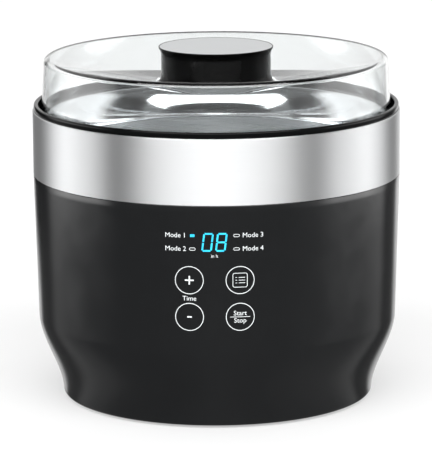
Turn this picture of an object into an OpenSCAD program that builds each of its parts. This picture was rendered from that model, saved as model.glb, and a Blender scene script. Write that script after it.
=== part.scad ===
// Round yogurt maker: a heated steel pot in a black housing, closed by a clear dished lid, with
// glass jars standing in the pot and a touch panel at the front.
// The origin is the centre of the circle of feet, on the plane they stand on.
// +Z is up and -Y is the front.

/* [Housing] */
// Outer diameter of the steel band
band_d = 240; // [238:1:244]
// Height of the seam between the black housing and the band
seam_z = 148; // [146:1:150]
// Height of the band's top edge
band_top_z = 190; // [189.5:0.25:190.5]
// Thickness of the steel band
band_t = 0.8; // [0.6:0.1:1]
// Outer diameter of the foot
foot_d = 204; // [202:1:206]
// Height at which the S-curve of the foot runs out into the straight side
curve_top_z = 54; // [50:1:60]
// Outer diameter of the housing at the top of the S-curve
waist_d = 235; // [232:1:237]
// Wall thickness of the housing
wall = 3; // [2.4:0.2:3.4]
// Width of the black ring round the lid
ring_w = 3; // [2.6:0.1:3.2]
// Height of the black ring's top
ring_top_z = 194; // [193.5:0.25:195]

/* [Heating pot] */
// Inner diameter of the pot
pot_d = 196; // [195:0.5:197]
// Height of the inside of the pot's floor
pot_floor_z = 66; // [64:1:67]
// Thickness of the pot's steel
pot_t = 0.8; // [0.6:0.1:1]
// Height of the pot's flange, on which the lid stands
flange_z = 188; // [187.5:0.25:188.5]
// Radius of the bell mouth between the pot's wall and its flange
mouth_r = 35; // [32:1:37]

/* [Lid] */
// Outer diameter of the lid's wall at its rim
lid_d = 224.6; // [223:0.2:225]
// Outer diameter of the lid's wall at its lower edge
lid_low_d = 228.2; // [227:0.2:229]
// Height of the lid's rim
lid_top_z = 223.8; // [222:0.2:226]
// Thickness of the lid
lid_t = 2.5; // [2:0.1:2.8]
// Slope of the dish down towards the knob
dish_angle = 13; // [11:0.5:14]
// How far the lid lifts
lid_travel = 120; // [80:5:150]

/* [Knob] */
// Diameter of the knob's neck
knob_d = 71.6; // [68:0.2:74]
// Diameter of the lip round the knob's top
knob_lip_d = 74.8; // [74.4:0.2:76]
// Height of the knob's top
knob_top_z = 230.4; // [228:0.2:232]

/* [Jars] */
// Outer diameter of a jar
jar_d = 62; // [60:0.5:62.5]
// Height of the glass
jar_h = 78; // [70:1:80]
// Thickness of the glass
glass_t = 2.6; // [2.2:0.1:3]
// Diameter of the circle on which the outer jars stand
jar_circle_d = 131; // [130.6:0.1:131.4]

/* [Control panel] */
// Height of a lit digit
digit_h = 12; // [10:0.5:13]
// Width of a lit digit
digit_w = 7.4; // [6:0.2:7.4]
// Height of the middle of the display
display_z = 124.8; // [124:0.2:125.6]
// Diameter of a printed touch circle
touch_d = 18; // [16:0.5:19]
// Height of the upper row of touch circles
upper_touch_z = 100.3; // [99:0.1:101]
// Height of the lower row of touch circles
lower_touch_z = 76.6; // [76:0.1:78]
// Sideways distance of the touch circles from the middle
touch_x = 15.9; // [15:0.1:16.5]

/* [Inside] */
// Radius of the hole for the mains lead
cord_r = 3.2; // [2.8:0.1:3.6]
// Height of the hole for the mains lead
cord_z = 11.4; // [11.2:0.1:12]

/* [Hidden] */
$fn = 96;
JARS = 7;
OUTER_JARS = JARS - 1;

tiny = 0.01;
clearance = 0.05;

band_r = band_d / 2;
neck_r = band_r - band_t;
foot_r = foot_d / 2;
waist_r = waist_d / 2;
housing_z = 1.5;
foot_edge = 2;
curve_low_z = 2;
curve_steps = 14;

plate_low_z = 2.5;
plate_top_z = 5.5;
plate_gap = 0.4;
boss_circle_r = 86;
boss_r = 4.5;
boss_top_z = 24;
screw_r = 1.8;
screw_head_r = 3.8;
screw_top_z = 18;
foot_circle_r = 72;
foot_pad_r = 8;
foot_stem_r = 2.9;

pot_r = pot_d / 2;
flange_edge_r = neck_r - 0.2;
// Slopes at which the bell mouth meets the flange's bend and the wall's bend, from the horizontal
mouth_slope = [45, 80];
shoulder_r = 4;
throat_r = 6;
corner_r = 5;

seat_r = 38.5;
rim_round = 3;
lid_r = lid_d / 2;
lid_low_r = lid_low_d / 2;
lid_taper = atan((lid_low_r - lid_r) / (lid_top_z - rim_round - flange_z));
rim_centre = [lid_r - rim_round, lid_top_z - rim_round];
dish_edge = rim_centre + rim_round * [cos(90 + dish_angle), sin(90 + dish_angle)];
seat_z = dish_edge.y - (dish_edge.x - seat_r) * tan(dish_angle);
knob_hole_r = 2.4;

knob_r = knob_d / 2;
knob_lip_r = knob_lip_d / 2;
knob_wall = 2.6;
disc_recess = 1.4;
disc_rim = 0.6;
knob_boss_r = 4.5;
knob_screw_r = 1.85;
seal_t = 1.2;

jar_r = jar_d / 2;
neck_out_r = jar_r - 3.4;
neck_h = 10;
shoulder_h = 6;
cap_t = 1.4;
cap_gap = 0.35;
cap_skirt_h = 8.4;

board_t = 1.6;
board_y = -109;
board_half_w = 30;
board_low_z = 67;
board_top_z = 138;
post_x = 26;
post_z = [71, 134];
digit_pitch = 8.1;
digit_slant = 7;
stroke = 1.4;
segment_gap = 0.25;
pill = [4.3, 2.2];
pill_x = 13.8;
pill_z = [129, 120.4];
line_w = 0.8;
print_t = 0.15;
touch_z = [upper_touch_z, lower_touch_z];
shroud_front_y = -113.4;

power_z = 18;
power_y = 36;
power_size = [96, 60, board_t];
gland_r = 5.2;
gland_collar_r = 6.6;

// Points along an arc about c, from angle a0 to angle a1
function arc(c, r, a0, a1, n = 10) =
    [for (i = [0:n]) let (a = a0 + (a1 - a0) * i / n) c + r * [cos(a), sin(a)]];

// A list in the other direction
function backwards(list) = [for (i = [len(list) - 1:-1:0]) list[i]];

// Smooth step from 0 to 1
function smooth(u) = let (t = min(max(u, 0), 1)) t * t * (3 - 2 * t);

// Radius of the straight, slightly widening side at height z
function side_r(z) = waist_r + (band_r - waist_r) * (z - curve_top_z) / (seam_z - curve_top_z);

// Outer radius of the housing at height z: the straight side, drawn in to the foot by an S-curve
function housing_r(z) =
    foot_r + (side_r(z) - foot_r) * smooth((z - curve_low_z) / (curve_top_z - curve_low_z));

curve_z = [for (i = [1:curve_steps])
    housing_z + foot_edge + (curve_top_z - housing_z - foot_edge) * i / curve_steps];

module pipe(r_out, r_in, h) {
    difference() {
        cylinder(r = r_out, h = h);
        translate([0, 0, -1])
            cylinder(r = r_in, h = h + 2);
    }
}

// A cylinder along +Y from y0 to y1 at place x, z
module along_y(x, z, y0, y1, r) {
    translate([x, y0, z])
        rotate([-90, 0, 0])
            cylinder(r = r, h = y1 - y0);
}

module block(low, high) {
    translate(low)
        cube(high - low);
}

/* ---- housing ---- */

module housing_outside() {
    outline = concat(
        [[0, housing_z]],
        arc([foot_r - foot_edge, housing_z + foot_edge], foot_edge, -90, 0, 6),
        [for (z = curve_z) [housing_r(z), z]],
        [[band_r, seam_z], [neck_r, seam_z], [neck_r, flange_z - pot_t], [0, flange_z - pot_t]]
    );
    rotate_extrude()
        polygon(outline);
}

module housing_inside() {
    outline = concat(
        [[0, 0], [foot_r - wall, 0]],
        [for (z = concat([housing_z + foot_edge], curve_z)) [housing_r(z) - wall, z]],
        [[band_r - wall, seam_z - 2], [neck_r - wall, seam_z + 2]],
        [[neck_r - wall, flange_z + 1], [0, flange_z + 1]]
    );
    rotate_extrude()
        polygon(outline);
}

// A screw boss in the foot, with a web that joins it to the wall
module foot_boss() {
    translate([boss_circle_r, 0, plate_top_z])
        cylinder(r = boss_r, h = boss_top_z - plate_top_z);
    block([boss_circle_r, -1.2, plate_top_z], [foot_r - wall / 2, 1.2, boss_top_z]);
}

module housing() {
    color("#1b1c1d")
        difference() {
            union() {
                difference() {
                    housing_outside();
                    housing_inside();
                }
                for (a = [45:90:315])
                    rotate(a)
                        foot_boss();
                for (x = [-post_x, post_x], z = post_z)
                    along_y(x, z, -113.6, board_y, 3);
                intersection() {
                    along_y(0, cord_z, 92, 120, 9);
                    housing_outside();
                    block([-20, 90, plate_top_z], [20, 130, 40]);
                }
            }
            for (a = [45:90:315])
                rotate(a)
                    translate([boss_circle_r, 0, plate_top_z - 1])
                        cylinder(r = screw_r, h = screw_top_z - plate_top_z + 1);
            for (x = [-post_x, post_x], z = post_z)
                along_y(x, z, -112.4, board_y + 1, 1.1);
            along_y(0, cord_z, 80, 130, gland_r);
            along_y(0, cord_z, 101.6, 130, gland_collar_r);
        }
}

module steel_band() {
    color("#c9cbcc")
        rotate_extrude()
            polygon(concat(
                [[neck_r, seam_z], [band_r, seam_z]],
                arc([neck_r, band_top_z - band_t], band_t, 0, 90, 6)
            ));
}

module top_ring() {
    edge = 1.1;
    color("#101112")
        rotate_extrude()
            polygon(concat(
                [[neck_r - ring_w, flange_z], [neck_r, flange_z]],
                arc([neck_r - edge, ring_top_z - edge], edge, 0, 90, 6),
                arc([neck_r - ring_w + edge, ring_top_z - edge], edge, 90, 180, 6)
            ));
}

/* ---- pot ---- */

// The pot's wall from the flange to the middle of the floor, pushed outwards by t. Three arcs that
// share their tangents, the widest in the middle, carry the flange over into the wall.
function pot_path(t) =
    let (
        a = 90 + mouth_slope[0],
        b = 90 + mouth_slope[1],
        to_shoulder = (mouth_r - shoulder_r) * [cos(a), sin(a)],
        to_throat = (mouth_r - throat_r) * [cos(b), sin(b)],
        mouth = [pot_r + throat_r - to_throat.x, flange_z - shoulder_r - to_shoulder.y],
        corner = [pot_r - corner_r, pot_floor_z + corner_r]
    )
    concat(
        [[flange_edge_r, flange_z - t]],
        arc(mouth + to_shoulder, shoulder_r - t, 90, a, 6),
        arc(mouth, mouth_r - t, a, b, 8),
        arc(mouth + to_throat, throat_r - t, b, 180, 4),
        arc(corner, corner_r + t, 0, -90, 8),
        [[0, pot_floor_z - t]]
    );

module heating_chamber() {
    color("#b9bbbd")
        rotate_extrude()
            polygon(concat(pot_path(0), backwards(pot_path(pot_t))));
}

module bottom_heater() {
    color("#8d8f91")
        translate([0, 0, pot_floor_z - pot_t - 4])
            pipe(80, 9.5, 4);
}

module belt_heater() {
    color("#b5651d")
        translate([0, 0, 80])
            pipe(pot_r + pot_t + 1.2, pot_r + pot_t, 26);
}

module insulation_sleeve() {
    color("#d9d6cc")
        translate([0, 0, 76])
            pipe(pot_r + pot_t + 4.4, pot_r + pot_t + 1.4, 82);
}

module temperature_sensor() {
    color("#9fa3a6")
        translate([0, 0, 54])
            union() {
                cylinder(r = 4, h = pot_floor_z - pot_t - 54);
                cylinder(r = 7, h = 5);
                translate([0, 0, -6])
                    cylinder(r = 1.5, h = 6);
            }
}

module sensor_bracket() {
    low = 52.4;
    high = pot_floor_z - pot_t - 4;
    color("#c0c2c4")
        difference() {
            union() {
                block([-26, -7, low], [26, 7, low + 1.6]);
                for (s = [-1, 1])
                    block([s * 25 - 1, -7, low], [s * 25 + 1, 7, high]);
                for (s = [-1, 1])
                    block([min(s * 24, s * 36), -7, high - 1.2], [max(s * 24, s * 36), 7, high]);
            }
            translate([0, 0, low - 1])
                cylinder(r = 2, h = 4);
        }
}

module thermal_fuse() {
    high = pot_floor_z - pot_t - 4;
    color("#e7e2d2")
        for (s = [0, 1])
            translate([-12, 36 + 10 * s, high - 2.4])
                rotate([0, 90, 0])
                    union() {
                        cylinder(r = 2.4, h = 24);
                        translate([0, 0, -8])
                            cylinder(r = 0.8, h = 40);
                    }
}

/* ---- foot ---- */

module base_plate() {
    color("#232425")
        difference() {
            union() {
                translate([0, 0, plate_low_z])
                    cylinder(r = foot_r - wall - plate_gap, h = plate_top_z - plate_low_z);
                for (x = [-1, 1], y = [-1, 1])
                    translate([x * (power_size.x / 2 - 5), power_y + y * (power_size.y / 2 - 5), plate_top_z - 1])
                        cylinder(r = 3.4, h = power_z - plate_top_z + 1);
                translate([0, 0, plate_top_z - 1])
                    pipe(52, 49.6, 3);
            }
            for (a = [45:90:315])
                rotate(a)
                    translate([boss_circle_r, 0, 0]) {
                        cylinder(r = screw_r + 0.3, h = 20);
                        cylinder(r = screw_head_r + 0.5, h = plate_low_z + 1.6);
                    }
            for (a = [0:90:270])
                rotate(a)
                    translate([foot_circle_r, 0, 0]) {
                        cylinder(r = foot_stem_r + 0.1, h = 20);
                        cylinder(r = foot_pad_r + 0.2, h = plate_low_z + 1);
                    }
            for (a = [0:20:340])
                rotate(a)
                    block([30, -1.25, 0], [44, 1.25, 20]);
        }
}

module rubber_feet() {
    color("#3a3b3c")
        for (a = [0:90:270])
            rotate(a)
                translate([foot_circle_r, 0, 0])
                    rotate_extrude()
                        polygon(concat(
                            [[0, 0]],
                            arc([foot_pad_r - 1, 1], 1, -90, 0, 4),
                            [[foot_pad_r, plate_low_z + 1], [foot_stem_r, plate_low_z + 1]],
                            [[foot_stem_r, plate_top_z], [foot_stem_r + 0.8, plate_top_z]],
                            [[foot_stem_r - 0.9, plate_top_z + 2.4], [0, plate_top_z + 2.4]]
                        ));
}

module base_screws() {
    head_z = plate_low_z + 1.6;
    color("#b0b2b4")
        for (a = [45:90:315])
            rotate(a)
                translate([boss_circle_r, 0, 0])
                    difference() {
                        union() {
                            translate([0, 0, head_z - 1.4])
                                cylinder(r = screw_head_r, h = 1.4);
                            translate([0, 0, head_z - tiny])
                                cylinder(r = screw_r, h = screw_top_z - 1 - head_z);
                        }
                        block([-2.6, -0.4, 0], [2.6, 0.4, head_z - 0.7]);
                        block([-0.4, -2.6, 0], [0.4, 2.6, head_z - 0.7]);
                    }
}

module power_board() {
    color("#3d6b3f")
        difference() {
            translate([-power_size.x / 2, power_y - power_size.y / 2, power_z])
                cube(power_size);
            for (x = [-1, 1], y = [-1, 1])
                translate([x * (power_size.x / 2 - 5), power_y + y * (power_size.y / 2 - 5), power_z - 1])
                    cylinder(r = 1.6, h = 4);
        }
}

module power_components() {
    top = power_z + board_t;
    // Transformer: core, and winding sleeve round its middle
    color("#d3c14a")
        translate([-36, power_y - 16, top]) {
            cube([24, 28, 22]);
            translate([-2.5, 6, 2])
                cube([29, 16, 18]);
        }
    // Relay
    color("#2c5ea8")
        translate([-2, power_y - 20, top])
            cube([15.4, 19, 15]);
    // Smoothing capacitors
    color("#20242c")
        for (y = [-6, 8])
            translate([28, power_y + y, top])
                cylinder(r = 5, h = 14);
    // Interference capacitor and glass fuse in its holder
    color("#c7a23a")
        translate([-2, power_y + 6, top])
            cube([18, 8, 13]);
    color("#dfe3e6")
        translate([-8, power_y + 22, top + 4])
            rotate([0, 90, 0])
                cylinder(r = 2.6, h = 20);
    color("#dfe3e6")
        for (x = [-8, 8])
            translate([x, power_y + 19, top])
                cube([4, 6, 4]);
}

module terminal_block() {
    low = plate_top_z;
    color("#e9e7df")
        difference() {
            block([-15, 76.5, low], [15, 87.5, low + 12]);
            for (x = [-9, 0, 9]) {
                along_y(x, low + 6, 75, 90, 2);
                translate([x, 82, low + 5])
                    cylinder(r = 2.2, h = 10);
            }
        }
}

module cord_gland() {
    color("#161718")
        difference() {
            union() {
                along_y(0, cord_z, 89, 102, gland_r);
                along_y(0, cord_z, 101.6, 108.4, gland_collar_r);
                along_y(0, cord_z, 88, 91.8, gland_r + 0.5);
            }
            along_y(0, cord_z, 80, 120, cord_r);
        }
}

/* ---- control panel ---- */

module control_board() {
    color("#2f5d46")
        difference() {
            block([-board_half_w, board_y, board_low_z], [board_half_w, board_y + board_t, board_top_z]);
            for (x = [-post_x, post_x], z = post_z)
                along_y(x, z, board_y - 1, board_y + 4, 1.3);
        }
}

module processor_and_buzzer() {
    back = board_y + board_t;
    color("#17181a")
        block([-22, back, 86], [-10, back + 1.6, 98]);
    color("#17181a")
        along_y(10, 92, back, back + 3.4, 6);
    // Plug-in sockets for the leads to the power board
    color("#eeeae0")
        block([-10, back, 70], [10, back + 5, 76]);
}

module display_module() {
    color("#dcdcd8")
        block(
            [-10.4, board_y - 5.2, display_z - 7.4],
            [10.4, board_y, display_z + 7.4]
        );
}

// A pill-shaped prism along Y at the place of one indicator
module guide(x, z, y0, y1, grow) {
    half = (pill.x - pill.y) / 2;
    r = pill.y / 2 - 0.2 + grow;
    for (s = [-1, 1])
        along_y(x + s * half, z, y0, y1, r);
    block([x - half, y0, z - r], [x + half, y1, z + r]);
}

module display_shroud() {
    color("#0d0d0e")
        difference() {
            block([-18.5, shroud_front_y, 113.5], [18.5, board_y, 136.5]);
            block(
                [-10.8, shroud_front_y - 1, display_z - 7.8],
                [10.8, board_y + 1, display_z + 7.8]
            );
            for (x = [-pill_x, pill_x], z = pill_z)
                guide(x, z, shroud_front_y - 1, board_y + 1, 0.2);
        }
}

module indicator_leds() {
    color("#e8f6f8")
        for (x = [-pill_x, pill_x], z = pill_z)
            block([x - 1.2, board_y - 0.9, z - 0.6], [x + 1.2, board_y, z + 0.6]);
}

module light_guides() {
    color("#c9e7ee")
        for (x = [-pill_x, pill_x], z = pill_z)
            guide(x, z, shroud_front_y - 0.4, board_y - 1.2, 0);
}

module touch_springs() {
    front = -113.2;
    turns = 4;
    color("#b98c4a")
        for (x = [-touch_x, touch_x], z = touch_z)
            translate([x, 0, z])
                rotate([90, 0, 0]) {
                    translate([0, 0, -board_y])
                        cylinder(r = 2, h = -front + board_y);
                    translate([0, 0, -front - 0.5])
                        cylinder(r = 4.2, h = 0.5);
                    for (i = [0:turns - 1])
                        translate([0, 0, -board_y + 0.5 + i * 0.85])
                            pipe(4, 1.9, 0.45);
                }
}

module board_screws() {
    back = board_y + board_t;
    color("#b0b2b4")
        for (x = [-post_x, post_x], z = post_z)
            union() {
                along_y(x, z, back, back + 1.6, 2.4);
                along_y(x, z, -112, back + tiny, 1.1);
            }
}

// The skin of the housing's front, from which printed marks are cut
module print_skin(t) {
    low = 68;
    high = 136;
    rotate_extrude()
        polygon([
            [side_r(low) + clearance, low], [side_r(low) + t, low],
            [side_r(high) + t, high], [side_r(high) + clearance, high]
        ]);
}

// Draws a flat shape, x sideways and y upwards, on the front of the housing
module on_front(t = print_t) {
    intersection() {
        translate([0, -100, 0])
            rotate([90, 0, 0])
                linear_extrude(height = 25)
                    children();
        print_skin(t);
    }
}

module pill_shape(size) {
    r = size.y / 2;
    half = size.x / 2 - r;
    square([2 * half, size.y], center = true);
    for (s = [-1, 1])
        translate([s * half, 0])
            circle(r = r);
}

module ring_shape(r, w) {
    difference() {
        circle(r = r);
        circle(r = r - w);
    }
}

// A square outline of line width w, with corners of radius r
module frame_shape(size, w, r) {
    difference() {
        offset(r = r)
            square(size - 2 * r, center = true);
        offset(r = r - w)
            square(size - 2 * r, center = true);
    }
}

module panel_marks() {
    plus_arm = 6;
    minus_arm = 3.7;
    list_size = 9.5;
    divider = 12.5;
    bold = 1;
    color("#e8eaeb")
        on_front() {
            for (x = [-touch_x, touch_x], z = touch_z)
                translate([x, z])
                    ring_shape(touch_d / 2, line_w);
            translate([-touch_x, upper_touch_z]) {
                square([plus_arm, bold], center = true);
                square([bold, plus_arm], center = true);
            }
            translate([-touch_x, lower_touch_z])
                square([minus_arm, bold], center = true);
            translate([touch_x, upper_touch_z]) {
                frame_shape(list_size, 0.6, 1.6);
                for (y = [-1.85, 0, 1.85]) {
                    translate([1, y])
                        square([4.3, 0.5], center = true);
                    translate([-2.5, y])
                        circle(r = 0.5);
                }
            }
            translate([touch_x, lower_touch_z])
                square([divider, 0.5], center = true);
            for (x = [-pill_x, pill_x], z = pill_z)
                translate([x, z])
                    difference() {
                        pill_shape(pill);
                        pill_shape(pill - [0.7, 0.7]);
                    }
        }
}

// One segment of a digit: a pointed bar from p to q, slanted like the digit
function segment(p, q) =
    let (
        d = (q - p) / norm(q - p),
        n = [-d.y, d.x],
        h = stroke / 2,
        a = p + segment_gap * d,
        b = q - segment_gap * d,
        points = [a, a + h * (d + n), b + h * (n - d), b, b - h * (d + n), a + h * (d - n)]
    )
    [for (v = points) [v.x + tan(digit_slant) * v.y, v.y]];

module digit(with_middle) {
    x = (digit_w - stroke) / 2;
    y = (digit_h - stroke) / 2;
    for (s = [-1, 1]) {
        polygon(segment([-x, s * y], [x, s * y]));
        polygon(segment([-x, min(0, s * y)], [-x, max(0, s * y)]));
        polygon(segment([x, min(0, s * y)], [x, max(0, s * y)]));
    }
    if (with_middle)
        polygon(segment([-x, 0], [x, 0]));
}

module display_segments() {
    color("#38d5e6")
        on_front() {
            translate([-digit_pitch / 2, display_z])
                digit(false);
            translate([digit_pitch / 2, display_z])
                digit(true);
            translate([-pill_x, pill_z[0]])
                pill_shape(pill - [0.8, 0.8]);
        }
}

/* ---- lid ---- */

function lid_outline(t) =
    let (seat = seat_z - t)
    concat(
        [[lid_low_r - t, flange_z]],
        arc(rim_centre, rim_round - t, lid_taper, 90 + dish_angle, 10),
        [[seat_r - t * tan(dish_angle / 2), seat], [0, seat]]
    );

module lid_shell() {
    color([0.93, 0.95, 0.96, 0.35])
        rotate_extrude()
            difference() {
                polygon(concat([[0, flange_z]], lid_outline(0)));
                polygon(concat([[0, flange_z - 1], [lid_low_r - lid_t, flange_z - 1]], lid_outline(lid_t)));
                translate([-1, 0])
                    square([1 + knob_hole_r, lid_top_z]);
            }
}

module knob() {
    lip_z = knob_top_z - 1.4;
    step = 0.3;
    edge = 0.3;
    flare_z = 6;
    curl_z = 4.6;
    hollow_top = knob_top_z - disc_recess - knob_wall;
    color("#0b0b0c")
        difference() {
            union() {
                difference() {
                    rotate_extrude()
                        polygon(concat(
                            [[0, seat_z]],
                            [for (i = [0:6]) let (u = i / 6)
                                [knob_r + 1.8 * (1 - u) * (1 - u), seat_z + flare_z * u]],
                            [for (i = [0:6]) let (u = i / 6)
                                [knob_r + (knob_lip_r - step - knob_r) * u * u, lip_z - curl_z * (1 - u)]],
                            [[knob_lip_r, lip_z + step]],
                            arc([knob_lip_r - edge, knob_top_z - edge], edge, 0, 90, 4),
                            [[knob_lip_r - disc_rim, knob_top_z]],
                            [[knob_lip_r - disc_rim, knob_top_z - disc_recess]],
                            [[0, knob_top_z - disc_recess]]
                        ));
                    translate([0, 0, seat_z - 1])
                        cylinder(r = knob_r - knob_wall, h = hollow_top - seat_z + 1);
                }
                translate([0, 0, seat_z])
                    cylinder(r = knob_boss_r, h = hollow_top - seat_z + 1);
                for (a = [0:60:300])
                    rotate(a)
                        block([knob_boss_r - 1, -0.8, seat_z + 4], [knob_r - knob_wall + 1, 0.8, hollow_top + 1]);
            }
            translate([0, 0, seat_z - 1])
                cylinder(r = knob_screw_r + clearance, h = 16);
        }
}

module knob_disc() {
    color("#c4c7c9")
        translate([0, 0, knob_top_z - disc_recess])
            cylinder(r = knob_lip_r - disc_rim - 0.1, h = disc_recess - 0.1);
}

module knob_seal() {
    color("#d8d8d6")
        translate([0, 0, seat_z - lid_t - seal_t])
            pipe(7.5, knob_hole_r, seal_t);
}

module knob_screw() {
    head_h = 2.4;
    head_z = seat_z - lid_t - seal_t - head_h;
    color("#b0b2b4")
        difference() {
            union() {
                translate([0, 0, head_z])
                    cylinder(r = 4, h = head_h);
                translate([0, 0, head_z + head_h - tiny])
                    cylinder(r = knob_screw_r, h = 17);
            }
            block([-2.8, -0.5, head_z - 1], [2.8, 0.5, head_z + 1.2]);
            block([-0.5, -2.8, head_z - 1], [0.5, 2.8, head_z + 1.2]);
        }
}

/* ---- jars ---- */

// The first jar stands in the middle, the others on a circle round it
function jar_place(k) =
    k == 1 ? [0, 0, pot_floor_z] :
    let (a = 30 + 360 * (k - 2) / OUTER_JARS) [jar_circle_d / 2 * cos(a), jar_circle_d / 2 * sin(a), pot_floor_z];

// Outside of the glass, pushed inwards by t, up to the mouth
function jar_outline(t) =
    let (
        base = 5,
        belly_top = jar_h - neck_h - shoulder_h
    )
    concat(
        [[0, t]],
        arc([jar_r - base, base], base - t, -90, 0, 6),
        arc([jar_r - shoulder_h, belly_top], shoulder_h - t, 0, 50, 5),
        [[neck_out_r - t, belly_top + shoulder_h], [neck_out_r - t, jar_h]]
    );

module jar(k) {
    color([0.85, 0.93, 0.93, 0.4])
        translate(jar_place(k))
            rotate_extrude()
                difference() {
                    polygon(concat(jar_outline(0), [[0, jar_h]]));
                    polygon(concat(jar_outline(glass_t), [[neck_out_r - glass_t, jar_h + 1], [0, jar_h + 1]]));
                }
}

module jar_cap(k) {
    r = neck_out_r + cap_gap + cap_t;
    edge = 1;
    color("#e9ebec")
        translate(jar_place(k) + [0, 0, jar_h])
            rotate_extrude()
                difference() {
                    polygon(concat(
                        [[0, -cap_skirt_h], [r, -cap_skirt_h]],
                        arc([r - edge, cap_t - edge], edge, 0, 90, 4),
                        [[0, cap_t]]
                    ));
                    translate([-1, -cap_skirt_h - 1])
                        square([1 + r - cap_t, cap_skirt_h + 1]);
                }
}

housing();
steel_band();
top_ring();
heating_chamber();
base_plate();
rubber_feet();
base_screws();
bottom_heater();
belt_heater();
insulation_sleeve();
temperature_sensor();
sensor_bracket();
thermal_fuse();
power_board();
power_components();
terminal_block();
cord_gland();
control_board();
processor_and_buzzer();
display_module();
display_shroud();
indicator_leds();
light_guides();
touch_springs();
board_screws();
panel_marks();
display_segments();
lid_shell();
knob();
knob_disc();
knob_screw();
knob_seal();
for (k = [1:JARS])
    jar(k);
for (k = [1:JARS])
    jar_cap(k);
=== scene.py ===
"""Round yogurt maker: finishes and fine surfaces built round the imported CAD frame."""
import math

import bmesh
import bpy
import numpy as np
from mathutils import Matrix, Vector


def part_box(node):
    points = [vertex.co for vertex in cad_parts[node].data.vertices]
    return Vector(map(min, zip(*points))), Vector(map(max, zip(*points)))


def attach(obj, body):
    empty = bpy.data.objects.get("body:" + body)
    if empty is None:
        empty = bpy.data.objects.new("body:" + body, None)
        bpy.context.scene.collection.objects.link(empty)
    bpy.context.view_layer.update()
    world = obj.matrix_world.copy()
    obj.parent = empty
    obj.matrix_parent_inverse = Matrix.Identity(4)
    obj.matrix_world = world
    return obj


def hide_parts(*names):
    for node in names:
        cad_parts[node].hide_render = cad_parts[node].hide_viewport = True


bl_info = {
    "name": "Yogurt Maker",
    "version": (1, 0, 0),
    "blender": (4, 5, 0),
    "location": "View3D > Sidebar > Yogurt Maker",
    "description": "Builds the visible surfaces, finishes and studio of a round yogurt maker",
    "category": "Object",
}

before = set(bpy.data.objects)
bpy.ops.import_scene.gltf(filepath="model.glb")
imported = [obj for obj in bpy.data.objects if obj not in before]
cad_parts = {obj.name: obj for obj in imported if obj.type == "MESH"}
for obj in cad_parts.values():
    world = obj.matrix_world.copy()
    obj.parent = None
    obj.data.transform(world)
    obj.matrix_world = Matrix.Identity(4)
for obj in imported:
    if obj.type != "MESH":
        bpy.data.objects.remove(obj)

MM = 0.001
JARS = range(1, 8)
AROUND = 288          # steps round a turned piece
ARC_STEPS = 7         # steps in a rounded corner
GUARD = 0.25 * MM     # a ring of points this far from each corner keeps the flats looking flat
PRINT_PROUD = 0.06 * MM
PRINT_SUNK = 0.05 * MM


# ---- sizes taken from the frame ----

def node_points(node):
    """All corner points of a CAD node, as an array of x, y, z rows in metres."""
    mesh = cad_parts[node].data
    points = np.empty(len(mesh.vertices) * 3, np.float32)
    mesh.vertices.foreach_get("co", points)
    return points.reshape(-1, 3).astype(float)


def outer_radius(node, z, reach=0.6 * MM):
    """Largest distance from the axis among a node's points within reach of height z."""
    points = node_points(node)
    near = points[np.abs(points[:, 2] - z) < reach]
    return float(np.hypot(near[:, 0], near[:, 1]).max())


def low_z(node):
    """Height of a node's lowest point."""
    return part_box(node)[0].z


def high_z(node):
    """Height of a node's highest point."""
    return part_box(node)[1].z


SEAM_Z = low_z("steel_band")
BAND_TOP_Z = high_z("steel_band")
BAND_R = outer_radius("steel_band", SEAM_Z)
RING_TOP_Z = high_z("top_ring")
FLANGE_Z = high_z("heating_chamber")
HOUSING_Z = low_z("housing")
WAIST_Z = 54 * MM     # the foot's S-curve ends here
WAIST_R = outer_radius("housing", WAIST_Z, 0.1 * MM)
LID_TOP_Z = high_z("lid_shell")
KNOB_TOP_Z = high_z("knob")


# ---- sizes and colours that a user would change ----

def length(name, description, default):
    """A length that a user can change."""
    return bpy.props.FloatProperty(name=name, description=description, default=default,
                                   subtype="DISTANCE", unit="LENGTH")


def tone(name, description, default):
    """A colour that a user can change."""
    return bpy.props.StringProperty(name=name, description=description + ", as an sRGB hex value",
                                    default=default)


class YogurtMakerSizes(bpy.types.PropertyGroup):
    """Sizes that the CAD frame leaves open."""
    band_wall: length("Band wall", "Thickness of the steel band", 0.8 * MM)
    housing_wall: length("Housing wall", "Thickness of the black housing", 3 * MM)
    foot_edge: length("Foot edge", "Radius of the edge that the housing turns in to the floor", 2 * MM)
    ring_width: length("Ring width", "Width of the black ring round the lid", 3 * MM)
    ring_edge: length("Ring edge", "Radius of the ring's top edges", 1.1 * MM)
    pot_steel: length("Pot steel", "Thickness of the pot's sheet steel", 0.8 * MM)
    mouth_radius: length("Bell mouth", "Radius of the bell mouth above the pot's wall", 35 * MM)
    pot_corner: length("Pot corner", "Radius between the pot's floor and wall", 5 * MM)
    lid_wall: length("Lid wall", "Thickness of the clear lid", 2.5 * MM)
    lid_rim: length("Lid rim", "Radius of the lid's rounded rim", 3 * MM)
    line: length("Printed line", "Width of the printed circles", 0.44 * MM)
    touch_radius: length("Touch circle", "Outer radius of a printed touch circle", 9 * MM)
    touch_x: length("Touch spread", "Sideways distance of the touch circles from the middle", 15.9 * MM)
    upper_touch: length("Upper touch row", "Height of the upper touch circles", 100.3 * MM)
    lower_touch: length("Lower touch row", "Height of the lower touch circles", 76.6 * MM)
    digit_height: length("Digit height", "Height of a lit digit", 12 * MM)
    label_height: length("Label height", "Size of the panel's lettering", 4.3 * MM)


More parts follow.
